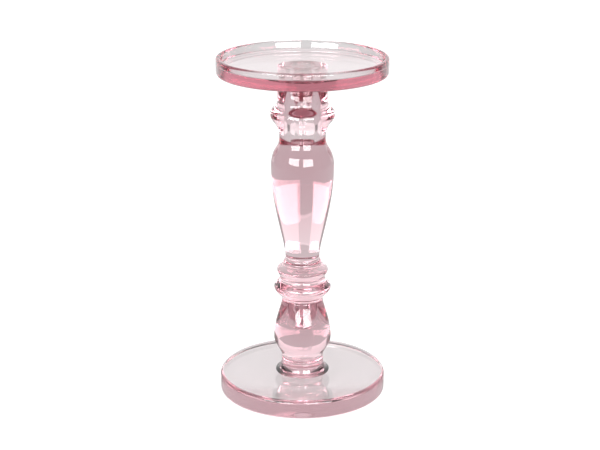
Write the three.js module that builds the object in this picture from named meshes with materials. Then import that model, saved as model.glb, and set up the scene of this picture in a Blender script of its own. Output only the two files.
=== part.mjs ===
// Glass candlestick for a pillar candle. Four pressed pieces are bonded one on another: a base
// disc, a bulb, a stem and a dish. Stem and bulb each have a well in the top, which the piece
// above closes. Millimetres, +Z up. The origin is on the axis of the candlestick, at the
// underside of the base, where it stands.
import * as THREE from "three";

// Driving dimensions
const HEIGHT = 246;
const DIAMETER = 120;
const FACETS = 48; // flats round the axis, a multiple of 4 so that the width is exact
const CURVE_STEPS = 5; // steps along each curved stretch of an outline
const BOND = 0.2; // thickness of each cured adhesive layer

// Base disc
const BASE_THICKNESS = 13;
const BASE_TOP_ROUND = 2.5;
const BASE_FOOT_ROUND = 1.2;

// Candle dish
const DISH_HEIGHT = 12.5;
const DISH_FLOOR = 7; // glass under the candle
const DISH_WALL = 3.4; // at the rim
const DISH_INNER_LEAN = 0.8; // how far the inner wall leans in from rim to floor
const DISH_FLOOR_ROUND = 1.2; // between floor and inner wall
const DISH_UNDER_ROUND = 2.5;

// Wells
const NECK_BORE = 8.8; // radius of the well in the stem
const NECK_BORE_END = 183.5; // height of its bottom
const BULB_BORE = 7;
const BULB_BORE_END = 46;
const BORE_ROUND = 3; // between a well's bottom and its wall

// Heights that follow from these
const STEM_BOTTOM = 68.6;
const BULB_TOP = STEM_BOTTOM - BOND;
const BULB_BOTTOM = BASE_THICKNESS + BOND;
const DISH_BOTTOM = HEIGHT - DISH_HEIGHT;
const STEM_TOP = DISH_BOTTOM - BOND;

// The turned outsides of the stem and the bulb, from the top down. Each station is a widest or
// narrowest place, where the outline runs parallel to the axis: its radius, its height, and how
// far the outline keeps that direction above and below it.
const STEM_STATIONS = [
  { name: "neck", radius: 17.5, height: 215.5, above: 0, below: 5.5 },
  { name: "collar", radius: 22.7, height: 205, above: 5, below: 4.5 },
  { name: "waist", radius: 16.3, height: 189.5, above: 9, below: 10.5 },
  { name: "baluster", radius: 22.3, height: 167, above: 15, below: 30 },
  { name: "ankle", radius: 12.1, height: 100, above: 12, below: 2 },
  { name: "bead", radius: 13.7, height: 96.3, above: 1.2, below: 1 },
  { name: "nick", radius: 13, height: 94.2, above: 0.5, below: 0.5 },
  { name: "upper ring", radius: 18.3, height: 90.8, above: 2.2, below: 2 },
  { name: "groove", radius: 16.1, height: 85.6, above: 1, below: 4 },
  { name: "lower ring", radius: 20.4, height: 77.8, above: 3.4, below: 3.6 },
  { name: "stem end", radius: 14.7, height: STEM_BOTTOM, above: 3, below: 0 },
];
const BULB_STATIONS = [
  { name: "bulb neck", radius: 14.7, height: BULB_TOP, above: 0, below: 5 },
  { name: "bulb", radius: 20.7, height: 39, above: 12.5, below: 6 },
  { name: "foot waist", radius: 15, height: 24, above: 5, below: 6 },
];
const FOOT_RADIUS = 19.4; // of the flare below the foot's waist
const FOOT_LIP = 0.3; // thickness of the flare at its edge

// Adds the curve between two neighbouring stations to an outline that runs downwards.
function curveDown(outline, from, to) {
  outline.bezierCurveTo(
    from.radius, from.height - from.below,
    to.radius, to.height + to.above,
    to.radius, to.height,
  );
}

// Adds a round from the outline's end to (radius, height), bulging towards (cornerX, cornerY).
function roundTo(outline, cornerX, cornerY, radius, height) {
  const start = outline.currentPoint;
  const pull = 0.5523; // the share of the way to the corner that makes a quarter circle
  outline.bezierCurveTo(
    start.x + (cornerX - start.x) * pull, start.y + (cornerY - start.y) * pull,
    radius + (cornerX - radius) * pull, height + (cornerY - height) * pull,
    radius, height,
  );
}

// Turns the points of an outline, x out and y up, about the Z axis. They run from the bottom of
// the axis round the outside.
function turned(name, points, material) {
  const geometry = new THREE.LatheGeometry(points, FACETS);
  geometry.rotateX(Math.PI / 2);
  const mesh = new THREE.Mesh(geometry, material);
  mesh.name = name;
  return mesh;
}

function roseGlass() {
  return new THREE.MeshStandardMaterial({ color: 0xefc9d3, roughness: 0.03, metalness: 0 });
}

function clearAdhesive() {
  return new THREE.MeshStandardMaterial({ color: 0xf2eef0, roughness: 0.1, metalness: 0 });
}

function baseDisc() {
  const rim = DIAMETER / 2;
  const outline = new THREE.Path();
  outline.moveTo(0, 0);
  outline.lineTo(rim - BASE_FOOT_ROUND, 0);
  roundTo(outline, rim, 0, rim, BASE_FOOT_ROUND);
  outline.lineTo(rim, BASE_THICKNESS - BASE_TOP_ROUND);
  roundTo(outline, rim, BASE_THICKNESS, rim - BASE_TOP_ROUND, BASE_THICKNESS);
  outline.lineTo(0, BASE_THICKNESS);
  return turned("base_disc", outline.getPoints(CURVE_STEPS), roseGlass());
}

function candleDish() {
  const rim = DIAMETER / 2;
  const crest = DISH_WALL / 2; // the rim is a full round
  const inner = rim - DISH_WALL;
  const floorEdge = inner - DISH_INNER_LEAN;
  const floor = DISH_BOTTOM + DISH_FLOOR;
  const outline = new THREE.Path();
  outline.moveTo(0, DISH_BOTTOM);
  outline.lineTo(rim - DISH_UNDER_ROUND, DISH_BOTTOM);
  roundTo(outline, rim, DISH_BOTTOM, rim, DISH_BOTTOM + DISH_UNDER_ROUND);
  outline.lineTo(rim, HEIGHT - crest);
  roundTo(outline, rim, HEIGHT, rim - crest, HEIGHT);
  roundTo(outline, inner, HEIGHT, inner, HEIGHT - crest);
  outline.lineTo(floorEdge, floor + DISH_FLOOR_ROUND);
  roundTo(outline, floorEdge, floor, floorEdge - DISH_FLOOR_ROUND, floor);
  outline.lineTo(0, floor);
  return turned("candle_dish", outline.getPoints(CURVE_STEPS), roseGlass());
}

// Starts an outline at the bottom of a round-bottomed well on the axis and runs it up to top.
function well(radius, end, top) {
  const outline = new THREE.Path();
  outline.moveTo(0, end);
  outline.lineTo(radius - BORE_ROUND, end);
  roundTo(outline, radius, end, radius, end + BORE_ROUND);
  outline.lineTo(radius, top);
  return outline;
}

function runDown(outline, stations) {
  stations.slice(1).forEach((station, i) => curveDown(outline, stations[i], station));
}

// The outlines of the stem and the bulb are laid out from their wells over the top and down the
// outside, and then turned end for end.
function stem() {
  const neck = STEM_STATIONS[0];
  const down = well(NECK_BORE, NECK_BORE_END, STEM_TOP);
  down.lineTo(neck.radius, STEM_TOP);
  down.lineTo(neck.radius, neck.height);
  runDown(down, STEM_STATIONS);
  down.lineTo(0, STEM_BOTTOM);
  return turned("stem", down.getPoints(CURVE_STEPS).reverse(), roseGlass());
}

function bulb() {
  const down = well(BULB_BORE, BULB_BORE_END, BULB_TOP);
  down.lineTo(BULB_STATIONS[0].radius, BULB_TOP);
  runDown(down, BULB_STATIONS);
  const waist = BULB_STATIONS.at(-1);
  const lip = BULB_BOTTOM + FOOT_LIP;
  down.bezierCurveTo(
    waist.radius, waist.height - waist.below,
    waist.radius + (FOOT_RADIUS - waist.radius) * 0.3, lip,
    FOOT_RADIUS, lip,
  );
  down.lineTo(FOOT_RADIUS, BULB_BOTTOM);
  down.lineTo(0, BULB_BOTTOM);
  return turned("bulb", down.getPoints(CURVE_STEPS).reverse(), roseGlass());
}

// A cured adhesive layer over the full width of a joint.
function bond(name, bottom, radius) {
  const outline = new THREE.Path();
  outline.moveTo(0, bottom);
  outline.lineTo(radius, bottom);
  outline.lineTo(radius, bottom + BOND);
  outline.lineTo(0, bottom + BOND);
  return turned(name, outline.getPoints(), clearAdhesive());
}

// A cured adhesive layer round the mouth of a well.
function ringBond(name, bottom, radius, hole) {
  const outline = new THREE.Path();
  outline.moveTo(hole, bottom);
  outline.lineTo(radius, bottom);
  outline.lineTo(radius, bottom + BOND);
  outline.lineTo(hole, bottom + BOND);
  outline.lineTo(hole, bottom);
  return turned(name, outline.getPoints(), clearAdhesive());
}

const candlestick = new THREE.Group();
candlestick.add(baseDisc());
candlestick.add(bond("base_bond", BASE_THICKNESS, FOOT_RADIUS));
candlestick.add(bulb());
candlestick.add(ringBond("stem_bond", BULB_TOP, BULB_STATIONS[0].radius, BULB_BORE));
candlestick.add(stem());
candlestick.add(ringBond("dish_bond", STEM_TOP, STEM_STATIONS[0].radius, NECK_BORE));
candlestick.add(candleDish());

export default candlestick;
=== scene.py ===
"""Rose-tinted glass candlestick: a base disc, a bulb, a turned stem and a candle dish, bonded together."""
import math

import bmesh
import bpy
from mathutils import Euler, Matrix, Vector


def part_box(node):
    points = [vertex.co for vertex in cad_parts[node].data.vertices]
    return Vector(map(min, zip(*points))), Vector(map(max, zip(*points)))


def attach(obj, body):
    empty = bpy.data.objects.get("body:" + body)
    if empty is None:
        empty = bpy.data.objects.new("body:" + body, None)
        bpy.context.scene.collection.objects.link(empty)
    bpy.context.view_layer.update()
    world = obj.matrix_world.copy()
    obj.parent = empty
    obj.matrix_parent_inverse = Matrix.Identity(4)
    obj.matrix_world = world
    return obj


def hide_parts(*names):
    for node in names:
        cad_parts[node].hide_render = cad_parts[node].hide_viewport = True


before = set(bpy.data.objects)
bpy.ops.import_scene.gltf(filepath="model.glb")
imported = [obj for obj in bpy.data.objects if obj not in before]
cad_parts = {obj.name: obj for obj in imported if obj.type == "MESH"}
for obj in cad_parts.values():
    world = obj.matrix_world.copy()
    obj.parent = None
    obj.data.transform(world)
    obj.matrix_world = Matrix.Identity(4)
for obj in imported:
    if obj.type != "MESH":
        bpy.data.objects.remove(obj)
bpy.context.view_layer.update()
scene = bpy.context.scene
MM = 0.001


# ---------------------------------------------------------------- camera

# fitted to the ellipses of the rim, the dish floor and the base in the photo
CAMERA_PLACE = (0.0, -1.0117, 0.4477)
CAMERA_PITCH = 0.31  # radians below the horizon
CAMERA_YAW = math.radians(0.1)
SENSOR = 36.0
LENS = 89.2

camera_data = bpy.data.cameras.new("camera")
camera_data.sensor_width = SENSOR
camera_data.lens = LENS
camera_data.clip_start = 0.01
camera = bpy.data.objects.new("camera", camera_data)
camera.location = CAMERA_PLACE
camera.rotation_euler = Euler((math.pi / 2 - CAMERA_PITCH, 0, CAMERA_YAW))
scene.collection.objects.link(camera)
scene.camera = camera


# ---------------------------------------------------------------- node helpers

class Nodes:
    """Short calls for building one node tree."""

    def __init__(self, tree):
        self.tree = tree

    def new(self, kind, **settings):
        node = self.tree.nodes.new(kind)
        for key, value in settings.items():
            if key in node.bl_rna.properties:
                setattr(node, key, value)
            else:
                node.inputs[key.replace("_", " ")].default_value = value
        return node

    def link(self, out, into):
        self.tree.links.new(out, into)

    def maths(self, operation, *values):
        node = self.tree.nodes.new("ShaderNodeMath")
        node.operation = operation
        for socket, value in zip(node.inputs, values):
            if isinstance(value, (int, float)):
                socket.default_value = value
            else:
                self.link(value, socket)
        return node.outputs[0]

    def blend(self, share, a, b):
        """a where share is 0 and b where it is 1, for single numbers."""
        return self.maths("ADD", a, self.maths("MULTIPLY", share, self.maths("SUBTRACT", b, a)))


# ---------------------------------------------------------------- glass

GLASS_IOR = 1.5
ADHESIVE_IOR = 1.03  # against the glass around it
TINT = (0.667, 0.167, 0.278)
TINT_DENSITY = 18.0  # per metre
BASE_DENSITY = 7.5  # the base's glass is tinted less densely than the rest
GLASS_WAVES = (0.00002, 25.0)  # height in metres, and noise scale
ADHESIVE_WAVES = (0.00001, 120.0)
POLISH = 0.012  # roughness of fire-polished glass
SMEARS = 0.05  # how far handling marks raise it
SMEAR_START = 0.62  # the noise level above which there is a mark


def smeared(n, place):
    """The roughness of polished glass with the faint marks that handling leaves."""
    smear = n.new("ShaderNodeTexNoise", Scale=55.0, Detail=5.0, Roughness=0.6, Distortion=1.2)
    n.link(place, smear.inputs["Vector"])
    above = n.maths("SUBTRACT", smear.outputs["Fac"], SMEAR_START)
    above.node.use_clamp = True
    return n.maths("ADD", POLISH, n.maths("MULTIPLY", above, SMEARS))


def wavy(n, place, height, scale):
    """The faint unevenness of a pressed surface, as a bump."""
    wave = n.new("ShaderNodeTexNoise", Scale=scale, Detail=2.0, Roughness=0.4)
    n.link(place, wave.inputs["Vector"])
    bump = n.new("ShaderNodeBump", Strength=1.0, Distance=height)
    n.link(wave.outputs["Fac"], bump.inputs["Height"])
    return bump.outputs[0]


def clear(name, ior, waves):
    """A clear polished material with a faintly wavy surface."""
    material = bpy.data.materials.new(name)
    material.use_nodes = True
    n = Nodes(material.node_tree)
    shader = material.node_tree.nodes["Principled BSDF"]
    place = n.new("ShaderNodeTexCoord").outputs["Object"]
    shader.inputs["Base Color"].default_value = (1, 1, 1, 1)
    shader.inputs["Transmission Weight"].default_value = 1
    shader.inputs["IOR"].default_value = ior
    n.link(smeared(n, place), shader.inputs["Roughness"])
    n.link(wavy(n, place, *waves), shader.inputs["Normal"])
    return material


def glass(name, density):
    """Rose glass, tinted through and through."""
    material = clear(name, GLASS_IOR, GLASS_WAVES)
    n = Nodes(material.node_tree)
    tint = n.new("ShaderNodeVolumeAbsorption", Density=density)
    tint.inputs["Color"].default_value = (*TINT, 1)
    n.link(tint.outputs[0], material.node_tree.nodes["Material Output"].inputs["Volume"])
    return material


# ---------------------------------------------------------------- outlines, in millimetres

BASE_TOP_ROUND = 2.5
BASE_FOOT_ROUND = 1.2
DISH_FLOOR = 7.0
DISH_WALL = 3.4
DISH_INNER_LEAN = 0.8
DISH_FLOOR_ROUND = 1.2
DISH_UNDER_ROUND = 2.5
FOOT_RADIUS = 19.4  # of the flare below the foot's waist
FOOT_LIP = 0.3  # thickness of the flare at its edge
FOOT_SWEEP = 0.3  # how far along the flare's width the curve's lower handle lies

NECK_BORE = 8.8  # radius of the well in the top of the stem, and the height of its bottom
NECK_BORE_END = 183.5
BULB_BORE = 7.0
BULB_BORE_END = 46.0
BORE_ROUND = 3.0

# radius, height, and how far the outline runs parallel to the axis above and below
STEM_STATIONS = (
    (17.5, 215.5, 0, 5.5),  # neck
    (22.7, 205, 5, 4.5),  # collar
    (16.3, 189.5, 9, 10.5),  # waist
    (22.3, 167, 15, 30),  # baluster
    (12.1, 100, 12, 2),  # ankle
    (13.7, 96.3, 1.2, 1),  # bead
    (13, 94.2, 0.5, 0.5),  # nick
    (18.3, 90.8, 2.2, 2),  # upper ring
    (16.1, 85.6, 1, 4),  # groove
    (20.4, 77.8, 3.4, 3.6),  # lower ring
    (14.7, 68.6, 3, 0),  # end of the stem
)
BULB_STATIONS = (
    (14.7, 68.4, 0, 5),  # top
    (20.7, 39, 12.5, 6),  # bulb
    (15, 24, 5, 6),  # foot waist
)


def box_mm(node):
    low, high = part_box(node)
    return high.x / MM, low.z / MM, high.z / MM


DISC_RADIUS, BASE_BOTTOM, BASE_TOP = box_mm("base_disc")
RIM_RADIUS, DISH_BOTTOM, DISH_TOP = box_mm("candle_dish")
_, STEM_BOTTOM, STEM_TOP = box_mm("stem")
_, BULB_BOTTOM, BULB_TOP = box_mm("bulb")


def curve(outline, p1, p2, p3, steps=14):
    """Adds a Bezier curve from the outline's end."""
    p0 = outline[-1]
    for i in range(1, steps + 1):
        t = i / steps
        s = 1 - t
        w = (s * s * s, 3 * s * s * t, 3 * s * t * t, t * t * t)
        outline.append(tuple(sum(k * p[a] for k, p in zip(w, (p0, p1, p2, p3))) for a in (0, 1)))


QUARTER_PULL = 0.5523  # the share of the way to the corner that makes a quarter circle


def round_to(outline, corner, end, steps=8):
    """Adds a quarter round from the outline's end to end, bulging towards corner."""
    start = outline[-1]
    p1 = tuple(start[a] + (corner[a] - start[a]) * QUARTER_PULL for a in (0, 1))
    p2 = tuple(end[a] + (corner[a] - end[a]) * QUARTER_PULL for a in (0, 1))
    curve(outline, p1, p2, end, steps)


def base_outline():
    rim, top = DISC_RADIUS, BASE_TOP
    o = [(0, BASE_BOTTOM), (rim - BASE_FOOT_ROUND, BASE_BOTTOM)]
    round_to(o, (rim, BASE_BOTTOM), (rim, BASE_BOTTOM + BASE_FOOT_ROUND))
    o.append((rim, top - BASE_TOP_ROUND))
    round_to(o, (rim, top), (rim - BASE_TOP_ROUND, top), 12)
    o.append((0, top))
    return o


def dish_outline():
    rim, bottom, top = RIM_RADIUS, DISH_BOTTOM, DISH_TOP
    crest = DISH_WALL / 2
    inner = rim - DISH_WALL
    floor_edge = inner - DISH_INNER_LEAN
    floor = bottom + DISH_FLOOR
    o = [(0, bottom), (rim - DISH_UNDER_ROUND, bottom)]
    round_to(o, (rim, bottom), (rim, bottom + DISH_UNDER_ROUND), 12)
    o.append((rim, top - crest))
    round_to(o, (rim, top), (rim - crest, top))
    round_to(o, (inner, top), (inner, top - crest))
    o.append((floor_edge, floor + DISH_FLOOR_ROUND))
    round_to(o, (floor_edge, floor), (floor_edge - DISH_FLOOR_ROUND, floor))
    o.append((0, floor))
    return o


# How far a piece reaches past its end: through the 0.2 of adhesive and 0.05 into its neighbour, as
# bonded glass has no air between.
COUPLING = 0.25


def run_down(outline, stations):
    """Adds the curves from each station to the next one down."""
    for (r0, z0, _, below), (r1, z1, above, _) in zip(stations, stations[1:]):
        curve(outline, (r0, z0 - below), (r1, z1 + above), (r1, z1))


def well(radius, end, top):
    """A round-bottomed well on the axis, from its bottom up to top."""
    o = [(0, end), (radius - BORE_ROUND, end)]
    round_to(o, (radius, end), (radius, end + BORE_ROUND))
    o.append((radius, top))
    return o


def stem_outline():
    top = STEM_TOP + COUPLING
    bottom = STEM_BOTTOM - COUPLING
    neck, neck_height = STEM_STATIONS[0][:2]
    o = well(NECK_BORE, NECK_BORE_END, top)
    o += [(neck, top), (neck, neck_height)]
    run_down(o, STEM_STATIONS)
    o += [(o[-1][0], bottom), (0, bottom)]
    o.reverse()
    return o


def bulb_outline():
    bottom = BULB_BOTTOM - COUPLING
    o = well(BULB_BORE, BULB_BORE_END, BULB_TOP)
    o.append((BULB_STATIONS[0][0], BULB_TOP))
    run_down(o, BULB_STATIONS)
    r, z, _, below = BULB_STATIONS[-1]
    lip = BULB_BOTTOM + FOOT_LIP
    curve(o, (r, z - below), (r + (FOOT_RADIUS - r) * FOOT_SWEEP, lip), (FOOT_RADIUS, lip))
    o += [(FOOT_RADIUS, bottom), (0, bottom)]
    o.reverse()
    return o


ADHESIVE_INSET = 0.1  # from the joint's edges
ADHESIVE_ROUND = 0.1
ADHESIVE_SHRINK = 0.03  # so that no two faces lie in one plane


def adhesive_outline(node, hole=0):
    """A layer that fills the joint to just inside its edges."""
    radius, bottom, top = box_mm(node)
    bottom += ADHESIVE_SHRINK
    top -= ADHESIVE_SHRINK
    middle = (bottom + top) / 2
    edge = radius - ADHESIVE_INSET
    inner = hole + ADHESIVE_INSET if hole else 0
    o = [(inner, bottom), (edge - ADHESIVE_ROUND, bottom)]
    round_to(o, (edge, bottom), (edge, middle), 4)
    round_to(o, (edge, top), (edge - ADHESIVE_ROUND, top), 4)
    o.append((inner, top))
    if hole:
        o.append((inner, bottom))
    return o


SEGMENTS = 192
SHARP = math.radians(35)
ON_AXIS = 1e-6


def add_ring(made, radius, height):
    """A ring of points round the axis, or one point on it."""
    ring = []
    for k in range(1 if radius < ON_AXIS else SEGMENTS):
        angle = 2 * math.pi * k / SEGMENTS
        x = radius * MM * math.cos(angle)
        y = radius * MM * math.sin(angle)
        ring.append(made.verts.new((x, y, height * MM)))
    return ring


def join(made, low, high):
    """The smooth faces between two rings."""
    for k in range(SEGMENTS):
        m = (k + 1) % SEGMENTS
        corners = [low[k % len(low)], low[m % len(low)], high[m % len(high)], high[k % len(high)]]
        made.faces.new(list(dict.fromkeys(corners))).smooth = True


def turned_mesh(name, outline):
    """An outline turned about the Z axis. One that ends where it starts makes a ring."""
    closed = outline[0] == outline[-1]
    made = bmesh.new()
    rings = [add_ring(made, *point) for point in (outline[:-1] if closed else outline)]
    if closed:
        rings.append(rings[0])
    for low, high in zip(rings, rings[1:]):
        join(made, low, high)
    for edge in made.edges:
        if edge.calc_face_angle(0) > SHARP:
            edge.smooth = False
    mesh = bpy.data.meshes.new(name)
    made.to_mesh(mesh)
    made.free()
    return mesh


def turned(name, outline, material, node):
    """A turned piece, which stands for a CAD node."""
    mesh = turned_mesh(name, outline)
    mesh.materials.append(material)
    piece = bpy.data.objects.new(name, mesh)
    scene.collection.objects.link(piece)
    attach(piece, "root")
    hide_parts(node)


base_glass = glass("base_glass", BASE_DENSITY)
dish_glass = glass("dish_glass", TINT_DENSITY)
stem_glass = glass("stem_glass", TINT_DENSITY)
clear_adhesive = clear("clear_adhesive", ADHESIVE_IOR, ADHESIVE_WAVES)

turned("glass_base", base_outline(), base_glass, "base_disc")
turned("base_adhesive", adhesive_outline("base_bond"), clear_adhesive, "base_bond")
turned("glass_bulb", bulb_outline(), stem_glass, "bulb")
turned("bulb_adhesive", adhesive_outline("stem_bond", BULB_BORE), clear_adhesive, "stem_bond")
turned("glass_stem", stem_outline(), stem_glass, "stem")
turned("dish_adhesive", adhesive_outline("dish_bond", NECK_BORE), clear_adhesive, "dish_bond")
turned("glass_dish", dish_outline(), dish_glass, "candle_dish")


# ---------------------------------------------------------------- studio

TABLE_HALF_WIDTH = 0.9
TABLE_FRONT = -0.6
TABLE_BACK = 0.74
TABLE_DROP = 0.0002  # the base rests on the table with a film of air under it
TABLE_GLOW = 0.43
PAINTED_POOL_GLOW = 0.52  # a painted pool of light on the table round the object, standing in for the light the glass throws there, within GLOW_START metres
GLOW_START = 0.055
GLOW_END = 0.09
TABLE_WHITE = 0.9  # the table's glow as the camera sees it
TABLE_PAINT = 0.25
WHITE = 1.15  # the background as the camera sees it, which also lights the table


def inside(n, distance, start, end):
    """1 up to start metres, 0 from end metres."""
    share = n.maths("DIVIDE", n.maths("SUBTRACT", end, distance), end - start)
    share.node.use_clamp = True
    return share


def table_paint():
    """Pale paint, plain white to the camera and dimmer as the glass shows it, with a painted pool of light
    round the object.
    """
    material = bpy.data.materials.new("table")
    material.use_nodes = True
    n = Nodes(material.node_tree)
    shader = material.node_tree.nodes["Principled BSDF"]
    shader.inputs["Base Color"].default_value = (TABLE_PAINT, TABLE_PAINT, TABLE_PAINT, 1)
    shader.inputs["Roughness"].default_value = 1
    shader.inputs["Specular IOR Level"].default_value = 0
    shader.inputs["Emission Color"].default_value = (1, 1, 1, 1)
    # painted pool of light: the table glows brighter within GLOW_START metres of the object, fading out by
    # GLOW_END
    distance = n.new("ShaderNodeVectorMath", operation="LENGTH")
    n.link(n.new("ShaderNodeTexCoord").outputs["Object"], distance.inputs[0])
    painted_pool = inside(n, distance.outputs["Value"], GLOW_START, GLOW_END)
    glow = n.blend(painted_pool, TABLE_GLOW, PAINTED_POOL_GLOW)
    rays = n.new("ShaderNodeLightPath")
    strength = n.blend(rays.outputs["Is Camera Ray"], glow, TABLE_WHITE)
    n.link(strength, shader.inputs["Emission Strength"])
    return material


def card(name, corners, material):
    """A flat four-sided thing in the studio."""
    mesh = bpy.data.meshes.new(name)
    mesh.from_pydata(corners, [], [(0, 1, 2, 3)])
    mesh.materials.append(material)
    piece = bpy.data.objects.new(name, mesh)
    scene.collection.objects.link(piece)
    return piece


table_corners = [
    (-TABLE_HALF_WIDTH, TABLE_FRONT, -TABLE_DROP),
    (TABLE_HALF_WIDTH, TABLE_FRONT, -TABLE_DROP),
    (TABLE_HALF_WIDTH, TABLE_BACK, -TABLE_DROP),
    (-TABLE_HALF_WIDTH, TABLE_BACK, -TABLE_DROP),
]
card("table", table_corners, table_paint())

# The studio round the object. Each panel: azimuths from straight behind, positive to the right,
# elevations, the width of its soft edge in degrees, and its brightness. Later ones cover earlier.
ROOM = 0.6
PANELS = (
    (-110, 110, -90, 90, 6, 0.35),  # the dim sides
    (-52, 52, -90, 90, 5, 1.28),  # the white half of the studio, behind
    (-14.5, 6.3, -90, 90, 0.5, 1.0),  # a little dimmer in the middle
    (-52, 52, 8, 90, 8, 1.2),  # and higher up
    (-48, 48, -40, -5.5, 0.5, 1.28),  # glowing panels low down behind
    (-14.5, 6.3, -40, -5.7, 0.5, 0.74),  # the plain gap between them
)


def within(n, value, low, high, soft):
    """1 between low and high, 0 outside, over a soft edge."""
    rise = n.maths("DIVIDE", n.maths("SUBTRACT", value, low), soft)
    fall = n.maths("DIVIDE", n.maths("SUBTRACT", high, value), soft)
    share = n.maths("ADD", n.maths("MINIMUM", rise, fall), 0.5)
    share.node.use_clamp = True
    return share


def room(n):
    """The brightness of the studio in each direction."""
    split = n.new("ShaderNodeSeparateXYZ")
    n.link(n.new("ShaderNodeTexCoord").outputs["Generated"], split.inputs[0])
    x, y, z = split.outputs
    degrees = 180 / math.pi
    azimuth = n.maths("MULTIPLY", n.maths("ARCTAN2", x, y), degrees)
    elevation = n.maths("MULTIPLY", n.maths("ARCSINE", z), degrees)
    seen = ROOM
    for west, east, low, high, soft, level in PANELS:
        across = within(n, azimuth, west, east, soft)
        upward = within(n, elevation, low, high, soft)
        seen = n.blend(n.maths("MULTIPLY", across, upward), seen, level)
    return seen


def studio():
    """The world: plain white to the camera and for lighting the table, the room to the glass."""
    world = bpy.data.worlds.new("studio")
    world.use_nodes = True
    world.node_tree.nodes.clear()
    n = Nodes(world.node_tree)
    rays = n.new("ShaderNodeLightPath")
    plain = n.maths("MAXIMUM", rays.outputs["Is Camera Ray"], rays.outputs["Is Diffuse Ray"])
    background = n.new("ShaderNodeBackground", Color=(1, 1, 1, 1))
    n.link(n.blend(plain, room(n), WHITE), background.inputs["Strength"])
    out = n.new("ShaderNodeOutputWorld")
    n.link(background.outputs[0], out.inputs[0])
    return world


scene.world = studio()

WINDOW_LIGHT = 15
WINDOW_DISTANCE = 1.3
WINDOW_EYE = 0.17  # the height that the elevations are taken from


def window_glow(name):
    material = bpy.data.materials.new(name)
    material.use_nodes = True
    material.node_tree.nodes.clear()
    n = Nodes(material.node_tree)
    glow = n.new("ShaderNodeEmission", Strength=WINDOW_LIGHT)
    out = n.new("ShaderNodeOutputMaterial")
    n.link(glow.outputs[0], out.inputs[0])
    return material


def window_corner(azimuth, elevation):
    a = math.radians(azimuth)
    height = WINDOW_EYE + WINDOW_DISTANCE * math.tan(math.radians(elevation))
    return (WINDOW_DISTANCE * math.sin(a), -WINDOW_DISTANCE * math.cos(a), height)


def window(name, west, east):
    """A window-like softbox in front. Each side: azimuth, lower and upper elevation."""
    west_low, west_high = (window_corner(west[0], elevation) for elevation in west[1:])
    east_low, east_high = (window_corner(east[0], elevation) for elevation in east[1:])
    piece = card(name, [west_low, east_low, east_high, west_high], window_glow(name))
    piece.visible_camera = False
    piece.visible_diffuse = False
    piece.visible_shadow = False


window("window_left", (-54, 8, 31), (-13, 1, 32))
window("window_right", (3, 0, 32), (40, 1, 31))

scene.view_settings.view_transform = "Standard"
cycles = scene.cycles
cycles.max_bounces = 32
cycles.transmission_bounces = 32
cycles.glossy_bounces = 16
cycles.diffuse_bounces = 3
cycles.transparent_max_bounces = 16
cycles.use_denoising = True
